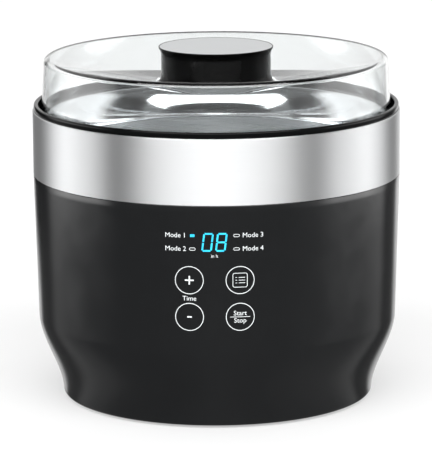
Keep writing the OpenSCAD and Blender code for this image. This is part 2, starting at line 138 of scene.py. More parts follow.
class YogurtMakerColours(bpy.types.PropertyGroup):
    """Colours of the finishes."""
    housing: tone("Housing", "Black ABS of the housing", "#101112")
    # set darker than the housing's black ABS
    ring: tone("Ring", "Black ABS of the ring", "#070808")
    steel: tone("Steel", "Brushed stainless steel of the band", "#e2e3e4")
    pot: tone("Pot", "Stainless steel of the pot", "#d6d8da")
    lid: tone("Lid", "Clear styrene of the lid", "#fbfdfd")
    # painted shade: set darker than the housing's black, standing in for the dark surroundings that the
    # knob's sides mirror
    knob: tone("Knob", "Black plastic of the knob", "#050505")
    disc: tone("Disc", "Satin disc in the knob", "#dcdedf")
    printed: tone("Print", "White of the printed marks", "#dfe3e4")
    lit: tone("Lit segments", "Cyan of the lit display", "#2cb4d8")
    glass: tone("Glass", "Soda-lime glass of the jars", "#eef7f4")
    cap: tone("Caps", "White polypropylene of the jar caps", "#e6e9ea")


def sizes():
    """The user's sizes."""
    return bpy.context.scene.yogurt_maker_sizes


def colours():
    """The user's colours."""
    return bpy.context.scene.yogurt_maker_colours


# ---- meshes ----

def rounded(corners, closed=True):
    """A profile of r, z rows through the given corners, each an (r, z, radius) row.

    Each corner with a radius becomes a circular arc that touches both straight runs: the arc's ends
    lie radius * tan(half the turn) from the corner, and its points follow by slerp between the two
    normals. Points are added just before and after each corner to keep the runs straight.
    """
    corners = np.asarray(corners, float)
    count = len(corners)
    rows = []
    for i in range(count):
        here, radius = corners[i, :2], corners[i, 2]
        if not closed and i in (0, count - 1):
            rows.append(here[None])
            continue
        before = corners[(i - 1) % count, :2]
        after = corners[(i + 1) % count, :2]
        into = (here - before) / np.linalg.norm(here - before)
        away = (after - here) / np.linalg.norm(after - here)
        turn = math.atan2(into[0] * away[1] - into[1] * away[0], float(into @ away))
        if radius <= 0 or abs(turn) < 1e-4:
            rows.append(here[None])
            continue
        cut = radius * math.tan(abs(turn) / 2)
        start = here - into * cut
        side = np.array([-into[1], into[0]]) * math.copysign(1, turn)
        centre = start + side * radius
        steps = np.linspace(0, turn, ARC_STEPS + 1)
        arm = start - centre
        arc = centre + np.stack([arm[0] * np.cos(steps) - arm[1] * np.sin(steps),
                                 arm[0] * np.sin(steps) + arm[1] * np.cos(steps)], 1)
        room = min(GUARD, 0.3 * radius)
        rows.append(np.vstack([start - into * room, arc, arc[-1] + away * room]))
    return np.vstack(rows)


def new_mesh(name, points, loops, starts, uv=None, smooth=True):
    """A mesh object at the origin from arrays: points, face corners, and each face's first corner."""
    mesh = bpy.data.meshes.new(name)
    mesh.vertices.add(len(points))
    mesh.vertices.foreach_set("co", np.ascontiguousarray(points, np.float32).ravel())
    mesh.loops.add(len(loops))
    mesh.loops.foreach_set("vertex_index", np.ascontiguousarray(loops, np.int32))
    mesh.polygons.add(len(starts))
    mesh.polygons.foreach_set("loop_start", np.ascontiguousarray(starts, np.int32))
    if uv is not None:
        layer = mesh.uv_layers.new(name="surface")
        layer.uv.foreach_set("vector", np.ascontiguousarray(uv, np.float32).ravel())
    mesh.update(calc_edges=True)
    mesh.validate()
    mesh.shade_smooth() if smooth else mesh.shade_flat()
    piece = bpy.data.objects.new(name, mesh)
    bpy.context.scene.collection.objects.link(piece)
    return piece


def turned(name, profile, closed=True, at=(0.0, 0.0), around=AROUND):
    """The surface that a profile sweeps round a vertical axis at x, y.

    A point is (x + r cos a, y + r sin a, z) for the profile's r, z and the angle a. The profile runs
    anticlockwise with r to the right, so the faces point outwards. An open profile starts and ends on
    the axis, where its ring shrinks to one point. u is the length round a mean circle and v the
    length along the profile, both in metres.
    """
    profile = np.asarray(profile, float)
    count = len(profile)
    angle = np.arange(around) * 2 * math.pi / around
    points = np.stack([at[0] + np.outer(np.cos(angle), profile[:, 0]),
                       at[1] + np.outer(np.sin(angle), profile[:, 0]),
                       np.broadcast_to(profile[:, 1], (around, count))], 2).reshape(-1, 3)
    runs = count if closed else count - 1
    step = np.linalg.norm(np.roll(profile, -1, 0) - profile, axis=1)
    along = np.concatenate([[0], np.cumsum(step)])
    ring, run = np.meshgrid(np.arange(around), np.arange(runs), indexing="ij")
    nxt_ring, nxt_run = (ring + 1) % around, (run + 1) % count
    quads = np.stack([ring * count + run, nxt_ring * count + run,
                      nxt_ring * count + nxt_run, ring * count + nxt_run], 2).reshape(-1, 4)
    mean = 2 * math.pi * profile[:, 0].max() / around
    u = np.stack([ring, ring + 1, ring + 1, ring], 2).reshape(-1, 4) * mean
    v = np.stack([along[run], along[run], along[run + 1], along[run + 1]], 2).reshape(-1, 4)
    keep = np.ones(quads.shape, bool)
    if not closed:
        axis_low, axis_high = quads[:, 0] % count == 0, quads[:, 2] % count == count - 1
        quads[axis_low, 0] = 0
        quads[axis_high, 2] = count - 1
        keep[axis_low, 1] = False
        keep[axis_high, 3] = False
    starts = np.concatenate([[0], np.cumsum(keep.sum(1))[:-1]])
    uv = np.stack([u[keep], v[keep]], 1)
    piece = new_mesh(name, points, quads[keep], starts, uv)
    if not closed:
        drop_loose(piece.data)
    return piece


def drop_loose(mesh):
    """Deletes points that no face uses."""
    work = bmesh.new()
    work.from_mesh(mesh)
    bmesh.ops.delete(work, geom=[v for v in work.verts if not v.link_faces], context="VERTS")
    work.to_mesh(mesh)
    work.free()


def ride(piece, body, slot, *nodes):
    """Attaches a finished piece to its body and hides the CAD nodes that it stands for. slot, its record
    slot, is not used.
    """
    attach(piece, body)
    if nodes:
        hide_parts(*nodes)
    return piece


def dress(piece, material):
    """Gives a piece one material in place of any it has."""
    piece.data.materials.clear()
    piece.data.materials.append(material)
    return piece


# ---- materials ----

def linear(hex_value):
    """An sRGB hex value as linear red, green, blue and alpha."""
    srgb = np.array([int(hex_value[i:i + 2], 16) for i in (1, 3, 5)]) / 255
    lin = np.where(srgb <= 0.04045, srgb / 12.92, ((srgb + 0.055) / 1.055) ** 2.4)
    return (*lin.tolist(), 1.0)


def add_node(tree, kind, inputs=None, **settings):
    """Adds a node, sets its properties, and sets or links its inputs."""
    made = tree.nodes.new(kind)
    for key, value in settings.items():
        setattr(made, key, value)
    for key, value in (inputs or {}).items():
        if isinstance(value, bpy.types.NodeSocket):
            tree.links.new(value, made.inputs[key])
        else:
            made.inputs[key].default_value = value
    return made


def patterned(name, colour, shades, roughness, swing, depth, patterns, fixed, space="Object"):
    """A material whose colour, roughness and height follow noise.

    patterns holds one (size in mm, detail, noise roughness) row, or three: for the colour, the
    roughness and the height. The first noise mixes the colour times one shade with the colour times
    the other. The second carries the roughness from its low to its high swing, over 0.3 to 0.7 where
    noise mostly lies, and the third lifts the surface by up to depth. Without a swing or a depth that
    part is even. fixed holds what the shader has the same all over.
    """
    material = bpy.data.materials.new(name)
    material.use_nodes = True
    tree = material.node_tree
    tree.nodes.clear()
    place = add_node(tree, "ShaderNodeTexCoord").outputs[space]
    noises = []
    for size, detail, rough in patterns:
        scale = tuple(1 / (s * MM) for s in np.broadcast_to(size, 3))
        scaled = add_node(tree, "ShaderNodeMapping", {"Vector": place, "Scale": scale}).outputs[0]
        noises.append(add_node(tree, "ShaderNodeTexNoise", {
            "Vector": scaled, "Scale": 1.0, "Detail": detail, "Roughness": rough}).outputs["Fac"])
    of_colour, of_roughness, of_height = noises if len(noises) == 3 else noises * 3
    base = linear(colour)
    first, second = [tuple(shade * c for c in base[:3]) + (1,) for shade in shades]
    inputs = {"Roughness": roughness}
    inputs["Base Color"] = add_node(
        tree, "ShaderNodeMix", {0: of_colour, 6: first, 7: second}, data_type="RGBA").outputs[2]
    if swing:
        inputs["Roughness"] = add_node(tree, "ShaderNodeMapRange", {
            "Value": of_roughness, "From Min": 0.3, "From Max": 0.7,
            "To Min": roughness * swing[0], "To Max": roughness * swing[1]}).outputs[0]
    if depth:
        inputs["Normal"] = add_node(
            tree, "ShaderNodeBump", {"Height": of_height, "Distance": depth * MM}).outputs[0]
    shader = add_node(tree, "ShaderNodeBsdfPrincipled", {**inputs, **fixed})
    add_node(tree, "ShaderNodeOutputMaterial", {"Surface": shader.outputs[0]})
    return material, tree, shader


def gloss_abs(name, colour, roughness, gleam=0.5):
    """ABS from a polished mould: near-black, glossy, with the faint waviness of moulded plastic.

    gleam is the shader's specular level. The ring and the knob have it set low, with a darker colour than the
    housing, so that their reflections come out darker and dimmer; on the knob this is painted shade.
    """
    return patterned(name, colour, (1, 1.25), roughness, (0.85, 1.15), 0.012,
                     [(9, 3, 0.5), (22, 2, 0.5), (6, 1, 0.5)],
                     {"IOR": 1.5, "Specular IOR Level": gleam})[0]


def brushed_stainless(name, colour, roughness):
    """Stainless sheet brushed along its length: fine lines round the piece stretch lights upwards.

    Real brushed lines are under 0.1 mm wide. They are drawn 0.45 mm wide, so that they show.
    """
    material, tree, shader = patterned(
        name, colour, (0.93, 1), roughness, (0.92, 1.08), 0.001, [((60, 0.45, 1), 3, 0.6)],
        {"Metallic": 1.0, "Anisotropic": 0.94, "Anisotropic Rotation": 0.25}, "UV")
    around = add_node(tree, "ShaderNodeTangent", direction_type="RADIAL", axis="Z")
    tree.links.new(around.outputs[0], shader.inputs["Tangent"])
    return material


def polished_stainless(name, colour):
    """Deep-drawn stainless, polished: mirror-like, with faint drawing lines round the pot.

    Real drawing lines are much finer than the 1.2 mm that these have, so that they show.
    """
    return patterned(name, colour, (0.94, 1), 0.09, (0.8, 1.3), 0.002, [((80, 1.2, 1), 2, 0.5)],
                     {"Metallic": 1.0}, "UV")[0]


def clear_plastic(name, colour, ior, roughness=0.0):
    """Polished clear plastic, resin or glass: bright, with dark lines where its edges bend the view."""
    return patterned(name, colour, (1, 0.985), roughness, None, 0.01,
                     [(30, 1, 0.5), (30, 1, 0.5), (35, 1, 0.5)],
                     {"IOR": ior, "Transmission Weight": 1.0})[0]


def satin_metal(name, colour, roughness, grain):
    """Satin anodised or plated metal: an even, soft sheen with a grain of the given size in mm."""
    return patterned(name, colour, (0.93, 1), roughness, (0.85, 1.15), 0.003, [(grain, 2, 0.5)],
                     {"Metallic": 1.0})[0]


def matt_solid(name, colour, roughness, grain, depth):
    """Moulded plastic, rubber, resin, ink or felt with a visible grain of the given size in mm."""
    return patterned(name, colour, (0.86, 1), roughness, (0.9, 1.1), depth, [(grain, 3, 0.5)],
                     {"IOR": 1.5})[0]


def lit_segment(name, colour, strength):
    """Display segments seen lit through the panel: a nearly even cyan glow under the gloss."""
    material, tree, shader = patterned(name, colour, (0.66, 1.29), 0.25, None, 0, [(3, 1, 0.5)],
                                       {"Emission Strength": strength})
    glow = shader.inputs["Base Color"].links[0].from_socket
    tree.links.new(glow, shader.inputs["Emission Color"])
    return material


# ---- the panel's printed marks ----

def panel_radius(z):
    """Radius of the housing's straight side at height z, between its waist and the seam."""
    share = (np.asarray(z) - WAIST_Z) / (SEAM_Z - WAIST_Z)
    return WAIST_R + (BAND_R - WAIST_R) * share


def onto_panel(points, height):
    """Carries flat x, z places to the front of the housing, at a height above its surface.

    The point lies where x and z say, at y = -sqrt((R(z) + height)^2 - x^2).
    """
    radius = panel_radius(points[:, 1]) + height
    return np.stack([points[:, 0], -np.sqrt(radius ** 2 - points[:, 0] ** 2), points[:, 1]], 1)


def ribbon(centre, width, closed):
    """Left and right edges of a line of the given width along a path: the path's points moved half
    the width along the normals of the mean direction of their two neighbours."""
    centre = np.asarray(centre, float)
    if closed:
        way = np.roll(centre, -1, 0) - np.roll(centre, 1, 0)
    else:
        way = np.gradient(centre, axis=0)
    way /= np.linalg.norm(way, axis=1)[:, None]
    normal = np.stack([-way[:, 1], way[:, 0]], 1)
    return centre + normal * width / 2, centre - normal * width / 2


def box_frame(cx, cz, half_w, half_h, radius, steps=6):
    """Centre line of a rounded rectangle: four quarter arcs joined by straight runs."""
    turn = np.linspace(0, math.pi / 2, steps + 1)
    parts = []
    for k, (sx, sz) in enumerate(((1, 1), (-1, 1), (-1, -1), (1, -1))):
        a = turn + k * math.pi / 2
        parts.append(np.stack([cx + sx * (half_w - radius) + radius * np.cos(a),
                               cz + sz * (half_h - radius) + radius * np.sin(a)], 1))
    return np.vstack(parts)


def circle_line(cx, cz, radius, steps=96):
    """Centre line of a circle: its middle plus the radius times the cosine and sine of the angle."""
    a = np.arange(steps) * 2 * math.pi / steps
    return np.stack([cx + radius * np.cos(a), cz + radius * np.sin(a)], 1)


def bar(x0, z0, x1, z1, steps=8):
    """Centre line of a straight stroke: an even mix of its two ends."""
    t = np.linspace(0, 1, steps + 1)[:, None]
    return np.array([[x0, z0]]) * (1 - t) + np.array([[x1, z1]]) * t


def strokes_piece(name, strokes):
    """One closed, thin solid for each stroke, laid on the panel: top, underside and sides.

    Each stroke is (path, width, closed). Its four edge lines, left and right above and below, are
    joined by strips of quads, and an open stroke gets two end faces.
    """
    points, faces, first = [], [], 0
    for path, width, closed in strokes:
        left, right = ribbon(path, width, closed)
        n = len(left)
        points += [onto_panel(left, PRINT_PROUD), onto_panel(right, PRINT_PROUD),
                   onto_panel(right, -PRINT_SUNK), onto_panel(left, -PRINT_SUNK)]
        i = np.arange(n if closed else n - 1)
        j = (i + 1) % n
        for edge in range(4):
            other = (edge + 1) % 4
            faces.append(first + np.stack([edge * n + i, other * n + i, other * n + j, edge * n + j], 1))
        if not closed:
            ends = np.array([[0, 3 * n, 2 * n, n], [n - 1, 2 * n - 1, 3 * n - 1, 4 * n - 1]])
            faces.append(first + ends)
        first += 4 * n
    quads = np.vstack(faces)
    return new_mesh(name, np.vstack(points), quads.ravel(), np.arange(len(quads)) * 4, smooth=False)


def lettering(name, words):
    """Flat lettering made a mesh, carried onto the panel, and given a thin wall.

    Each word is (text, x, z, size, align).
    """
    parts = []
    for text, x, z, size, align in words:
        curve = bpy.data.curves.new(name, "FONT")
        curve.body, curve.size, curve.align_x, curve.align_y = text, size, align, "CENTER"
        curve.resolution_u = 3
        maker = bpy.data.objects.new(name, curve)
        bpy.context.scene.collection.objects.link(maker)
        bpy.context.view_layer.update()
        mesh = bpy.data.meshes.new_from_object(maker)
        flat = np.empty(len(mesh.vertices) * 3, np.float32)
        mesh.vertices.foreach_get("co", flat)
        flat = flat.reshape(-1, 3).astype(float)
        placed = onto_panel(flat[:, :2] + np.array([x, z]), PRINT_PROUD)
        mesh.vertices.foreach_set("co", np.ascontiguousarray(placed, np.float32).ravel())
        mesh.update()
        part = bpy.data.objects.new(name, mesh)
        bpy.context.scene.collection.objects.link(part)
        parts.append(part)
        bpy.data.objects.remove(maker)
        bpy.data.curves.remove(curve)
    with bpy.context.temp_override(active_object=parts[0], selected_editable_objects=parts):
        bpy.ops.object.join()
    piece = parts[0]
    solid = piece.modifiers.new("wall", "SOLIDIFY")
    solid.thickness = PRINT_PROUD + PRINT_SUNK
    solid.offset = -1
    return piece


# ---- operators ----

class YogurtMakerStep:
    """What all the steps share."""
    bl_options = {"REGISTER", "UNDO"}


class YM_OT_housing(YogurtMakerStep, bpy.types.Operator):
    """Black housing: straight sides that an S-curve draws in to the foot"""
    bl_idname = "yogurt_maker.housing"
    bl_label = "Housing"

    def execute(self, context):
        wall, edge = sizes().housing_wall, sizes().foot_edge
        chamfer = 0.2 * MM
        reveal = 0.35 * MM    # how far the housing's top edge stands back from the band
        foot_r = outer_radius("housing", HOUSING_Z + edge, 0.3 * MM)
        neck_r = outer_radius("housing", high_z("housing"))

        def radius(z):
            """The straight side, less what a smooth step from 0 to 1 leaves of the foot's draw-in."""
            share = np.clip((z - edge) / (WAIST_Z - edge), 0, 1)
            return foot_r + (panel_radius(z) - foot_r) * share ** 2 * (3 - 2 * share)

        side_z = np.concatenate([np.linspace(HOUSING_Z + edge, WAIST_Z, 60),
                                 np.linspace(WAIST_Z, SEAM_Z - 3 * chamfer, 24)[1:]])
        turn = np.linspace(-math.pi / 2, 0, 8)[:-1]
        foot = np.stack([foot_r - edge + edge * np.cos(turn), HOUSING_Z + edge + edge * np.sin(turn)], 1)
        side = np.stack([radius(side_z), side_z], 1)
        top = np.array([[panel_radius(SEAM_Z - chamfer) - 0.06 * MM, SEAM_Z - chamfer],
                        [BAND_R - reveal, SEAM_Z], [neck_r, SEAM_Z], [neck_r, high_z("housing")],
                        [neck_r - wall, high_z("housing")], [neck_r - wall, SEAM_Z + 2 * MM]])
        inner_z = side_z[::-1]
        inside = np.stack([radius(inner_z) - wall, inner_z], 1)
        end = np.array([[foot_r - wall, HOUSING_Z]])
        piece = turned("housing", np.vstack([foot, side, top, inside, end]))
        dress(piece, gloss_abs("gloss_black_abs_housing", colours().housing, 0.15))
        ride(piece, "base", "housing_black", "housing")
        return {"FINISHED"}


class YM_OT_band(YogurtMakerStep, bpy.types.Operator):
    """Brushed stainless band with its top edge rolled in"""
    bl_idname = "yogurt_maker.band"
    bl_label = "Steel band"

    def execute(self, context):
        inner = BAND_R - sizes().band_wall
        fine = 0.15 * MM
        piece = turned("steel_band", rounded([
            (inner, SEAM_Z, 0), (BAND_R, SEAM_Z, fine), (BAND_R, BAND_TOP_Z, sizes().band_wall * 0.95),
            (inner, BAND_TOP_Z, 0)]))
        dress(piece, brushed_stainless("brushed_stainless_band", colours().steel, 0.48))
        ride(piece, "base", "band_steel", "steel_band")
        return {"FINISHED"}


class YM_OT_ring(YogurtMakerStep, bpy.types.Operator):
    """Black ring that the lid drops into"""
    bl_idname = "yogurt_maker.ring"
    bl_label = "Top ring"

    def execute(self, context):
        outer = outer_radius("top_ring", low_z("top_ring"))
        inner = outer - sizes().ring_width
        edge = sizes().ring_edge
        piece = turned("top_ring", rounded([
            (inner, low_z("top_ring"), 0), (outer, low_z("top_ring"), 0),
            (outer, RING_TOP_Z, edge), (inner, RING_TOP_Z, edge)]))
        # The ring's colour and specular level of 0.12 make it darker and dimmer than the housing's black ABS.
        dress(piece, gloss_abs("dim_black_abs_ring", colours().ring, 0.12, 0.12))
        ride(piece, "base", "ring_black", "top_ring")
        return {"FINISHED"}


class YM_OT_pot(YogurtMakerStep, bpy.types.Operator):
    """Steel pot: flat flange, polished bell mouth, brushed wall and floor"""
    bl_idname = "yogurt_maker.pot"
    bl_label = "Heating pot"

    def execute(self, context):
        s = sizes()
        mouth_r, shoulder_r, throat_r = s.mouth_radius, 4 * MM, 6 * MM
        mouth_slope = 45, 80      # degrees from the level, where the bell mouth starts and ends
        mouth_low = high_z("heating_chamber") - 19 * MM
        brushed_low = mouth_low - 2.5 * MM
        low, high = low_z("heating_chamber"), FLANGE_Z
        floor = low + s.pot_steel
        edge_r = outer_radius("heating_chamber", high)
        points = node_points("heating_chamber")
        radius = np.hypot(points[:, 0], points[:, 1])
        near = 0.05 * MM
        on_wall = (points[:, 2] > floor + s.pot_corner - near) & (points[:, 2] < mouth_low)
        wall_r = float(radius[on_wall].min())
        upper, lower = (math.radians(90 + slope) for slope in mouth_slope)

        def arc(x, z, r, a0, a1, steps):
            """The middle plus the radius times the cosine and sine of evenly spaced angles."""
            a = np.linspace(a0, a1, steps + 1)
            return np.stack([x + r * np.cos(a), z + r * np.sin(a)], 1)

        def wall_line(t):
            """Three arcs that share their tangents, from the flange down to the wall, then the corner."""
            x = wall_r + throat_r - (mouth_r - throat_r) * math.cos(lower)
            z = high - shoulder_r - (mouth_r - shoulder_r) * math.sin(upper)
            bend = shoulder_r - mouth_r, throat_r - mouth_r
            return np.vstack([
                [[edge_r, high - t]],
                arc(x - bend[0] * math.cos(upper), z - bend[0] * math.sin(upper), shoulder_r - t,
                    math.pi / 2, upper, 8),
                arc(x, z, mouth_r - t, upper, lower, 24)[1:],
                arc(x - bend[1] * math.cos(lower), z - bend[1] * math.sin(lower), throat_r - t,
                    lower, math.pi, 8)[1:],
                arc(wall_r - s.pot_corner, floor + s.pot_corner, s.pot_corner + t, 0, -math.pi / 2, 10),
                [[0, floor - t]]])

        piece = turned("heating_pot", np.vstack([wall_line(s.pot_steel)[::-1], wall_line(0)]), closed=False)
        dress(piece, polished_stainless("polished_stainless_pot", colours().pot))
        piece.data.materials.append(brushed_stainless("brushed_stainless_pot", colours().pot, 0.28))
        centres = np.empty(len(piece.data.polygons) * 3, np.float32)
        piece.data.polygons.foreach_get("center", centres)
        slots = (centres.reshape(-1, 3)[:, 2] < brushed_low).astype(np.int32)
        piece.data.polygons.foreach_set("material_index", slots)
        ride(piece, "base", "pot_steel", "heating_chamber")
        return {"FINISHED"}


class YM_OT_lid(YogurtMakerStep, bpy.types.Operator):
    """Clear lid: a low tapered wall, a rounded rim and a dish that falls to the knob"""
    bl_idname = "yogurt_maker.lid"
    bl_label = "Lid"

    def execute(self, context):
        wall, rim, foot = sizes().lid_wall, sizes().lid_rim, 0.5 * MM
        seat_bend, inner_rim = 6 * MM, 0.8 * MM
        slope = math.radians(13)    # of the dish
        low = low_z("lid_shell")
        low_r = outer_radius("lid_shell", low)
        points = node_points("lid_shell")
        radius = np.hypot(points[:, 0], points[:, 1])
        hole_r = float(radius.min())
        seat_z = float(points[radius < hole_r + 0.2 * MM, 2].max())
        seat_r = float(radius[np.abs(points[:, 2] - seat_z) < 0.01 * MM].max())
        rim_z = LID_TOP_Z - rim
        rim_r = outer_radius("lid_shell", rim_z, 0.4 * MM)
        taper = (low_r - rim_r) / (rim_z - low)
        corner_r = rim_r - taper * rim
        dish_top = seat_z + (corner_r - seat_r) * math.tan(slope)
        drop = wall / math.cos(slope)
        piece = turned("lid_shell", rounded([
            (low_r - wall, low, foot), (low_r, low, foot),
            (corner_r, dish_top, rim), (seat_r, seat_z, seat_bend),
            (hole_r, seat_z, 0), (hole_r, seat_z - wall, 0), (seat_r, seat_z - wall, seat_bend),
            (corner_r - wall, dish_top - drop - wall * math.tan(slope), inner_rim)]))
        dress(piece, clear_plastic("clear_styrene_lid", colours().lid, 1.56))
        ride(piece, "lid", "lid_clear", "lid_shell")
        return {"FINISHED"}


class YM_OT_knob(YogurtMakerStep, bpy.types.Operator):
    """Turned knob with a flared lip, and the satin disc let into it"""
    bl_idname = "yogurt_maker.knob"
    bl_label = "Knob"

    def execute(self, context):
        low, top = low_z("knob"), KNOB_TOP_Z
        lip_r = outer_radius("knob", top - 1.2 * MM, 1.0 * MM)
        neck_r = lip_r - 1.6 * MM
        flare_h, curl_h, lip_h, step = 6 * MM, 4.6 * MM, 1.4 * MM, 0.3 * MM
        gap, crisp, fine, wall = 0.1 * MM, 0.1 * MM, 0.2 * MM, 2.6 * MM
        flare = outer_radius("knob", low)
        disc_low, disc_top = low_z("knob_disc"), high_z("knob_disc")
        disc_r = outer_radius("knob_disc", disc_low)
        u = np.linspace(0, 1, 12)
        foot = np.stack([neck_r + (flare - neck_r) * (1 - u) ** 2, low + flare_h * u], 1)
        curl = np.stack([neck_r + (lip_r - step - neck_r) * u ** 2, top - lip_h - curl_h * (1 - u)], 1)
        lip = rounded([(lip_r, top - lip_h + fine, crisp), (lip_r, top, 0.28 * MM),
                       (disc_r + gap, top, crisp), (disc_r + gap, disc_low, 0), (0, disc_low, 0)],
                      closed=False)
        ceiling = disc_low - 2 * MM
        under = np.array([[0, ceiling], [neck_r - wall, ceiling], [neck_r - wall, low],
                          [flare - 2 * fine, low]])
        piece = turned("knob", np.vstack([under, foot, curl, lip]), closed=False)
        # Painted shade: the knob's colour and its specular level of 0.06 are set far below the housing's, so
        # that its sides look as dark as the surroundings they mirror.
        dress(piece, gloss_abs("gloss_black_knob_painted_shade", colours().knob, 0.07, 0.06))
        ride(piece, "lid", "knob_black", "knob")
        disc = turned("knob_disc", rounded([
            (0, disc_low, 0), (disc_r, disc_low, fine), (disc_r, disc_top, fine), (0, disc_top, 0)],
            closed=False))
        dress(disc, satin_metal("satin_silver_disc", colours().disc, 0.36, 0.4))
        ride(disc, "lid", "disc_silver", "knob_disc")
        return {"FINISHED"}


class YM_OT_panel(YogurtMakerStep, bpy.types.Operator):
    """Printed touch circles, symbols and labels on the front"""
    bl_idname = "yogurt_maker.panel"
    bl_label = "Panel print"

    def execute(self, context):
        s = sizes()
        thin, bold, frame_line, pill_line = 0.34 * MM, 0.9 * MM, 0.36 * MM, 0.32 * MM
        arm, dash, rule = 2.8 * MM, 1.5 * MM, 6.3 * MM        # half lengths of plus, minus, divider
        strokes = []
        for x in (-s.touch_x, s.touch_x):
            for z in (s.upper_touch, s.lower_touch):
                strokes.append((circle_line(x, z, s.touch_radius - s.line / 2), s.line, True))
        x, z = -s.touch_x, s.upper_touch
        strokes += [(bar(x - arm, z, x + arm, z), bold, False),
                    (bar(x, z - arm, x, z + arm), bold, False)]
        z = s.lower_touch
        strokes.append((bar(x - dash, z, x + dash, z), bold, False))
        x, z = s.touch_x, s.upper_touch
        strokes.append((box_frame(x, z, 4.5 * MM, 4.5 * MM, 1.2 * MM), frame_line, True))
        for row in (-1.75 * MM, 0, 1.75 * MM):
            strokes.append((bar(x - 0.9 * MM, z + row, x + 3.1 * MM, z + row), thin, False))
            strokes.append((bar(x - 2.9 * MM, z + row, x - 1.9 * MM, z + row), thin, False))
        z = s.lower_touch
        strokes.append((bar(x - rule, z, x + rule, z), thin, False))
        low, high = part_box("indicator_leds")
        lens_w, lens_h = 2.4 * MM, 1.2 * MM
        pill_x = high.x - lens_w / 2
        rows = high.z - lens_h / 2, low.z + lens_h / 2
        for px in (-pill_x, pill_x):
            for pz in rows:
                if (px, pz) != (-pill_x, rows[0]):        # that one is lit
                    strokes.append((box_frame(px, pz, 1.8 * MM, 0.8 * MM, 0.78 * MM), pill_line, True))
        piece = strokes_piece("panel_print", strokes)
        ink = matt_solid("white_screen_print", colours().printed, 0.5, 1.2, 0.002)
        dress(piece, ink)
        ride(piece, "base", "print_white", "panel_marks")
        label = s.label_height
        left, right = -17.7 * MM, 17.4 * MM
        words = [("Mode 1", left, rows[0], label, "RIGHT"), ("Mode 2", left, rows[1], label, "RIGHT"),
                 ("Mode 3", right, rows[0], label, "LEFT"), ("Mode 4", right, rows[1], label, "LEFT"),
                 ("Time", -s.touch_x, (s.upper_touch + s.lower_touch) / 2, label, "CENTER"),
                 ("Start", s.touch_x, s.lower_touch + 2.3 * MM, label, "CENTER"),
                 ("Stop", s.touch_x, s.lower_touch - 2.4 * MM, label, "CENTER"),
                 ("in h", 0, 115.9 * MM, 3.0 * MM, "CENTER")]
        text = lettering("panel_lettering", words)
        dress(text, ink)
        ride(text, "base", "print_white")
        return {"FINISHED"}


class YM_OT_display(YogurtMakerStep, bpy.types.Operator):
    """The two lit digits and the lit indicator"""
    bl_idname = "yogurt_maker.display"
    bl_label = "Display"

    def execute(self, context):
        low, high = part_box("display_module")
        middle = (low.z + high.z) / 2
        half_h = sizes().digit_height / 2
        half_w, half_pitch = 3.3 * MM, 4.3 * MM
        width, gap = 1.1 * MM, 0.35 * MM
        slant = math.tan(math.radians(7))
        strokes = []
        for cx, with_middle in ((-half_pitch, False), (half_pitch, True)):
            x, z = half_w - width / 2, half_h - width / 2
            bars = [(-x + gap, s * z, x - gap, s * z) for s in (-1, 1)]
            bars += [(s * x, t * gap, s * x, t * (z - gap)) for s in (-1, 1) for t in (-1, 1)]
            if with_middle:
                bars.append((-x + gap, 0, x - gap, 0))
            for x0, z0, x1, z1 in bars:
                path = bar(x0, z0, x1, z1)
                path[:, 0] += slant * path[:, 1] + cx
                path[:, 1] += middle
                strokes.append((path, width, False))
        piece = strokes_piece("lit_digits", strokes)
        lens_low, lens_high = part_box("indicator_leds")
        lens_w, lens_h, past = 2.4 * MM, 1.2 * MM, 0.2 * MM
        lamp_z = lens_high.z - lens_h / 2
        dot = bar(lens_low.x - past, lamp_z, lens_low.x + lens_w + past, lamp_z)
        lamp = strokes_piece("lit_indicator", [(dot, 1.7 * MM, False)])
        glow = lit_segment("lit_cyan_segment", colours().lit, 0.5)
        dress(piece, glow)
        dress(lamp, glow)
        ride(piece, "base", "digit_cyan", "display_segments")
        ride(lamp, "base", "digit_cyan")
        return {"FINISHED"}


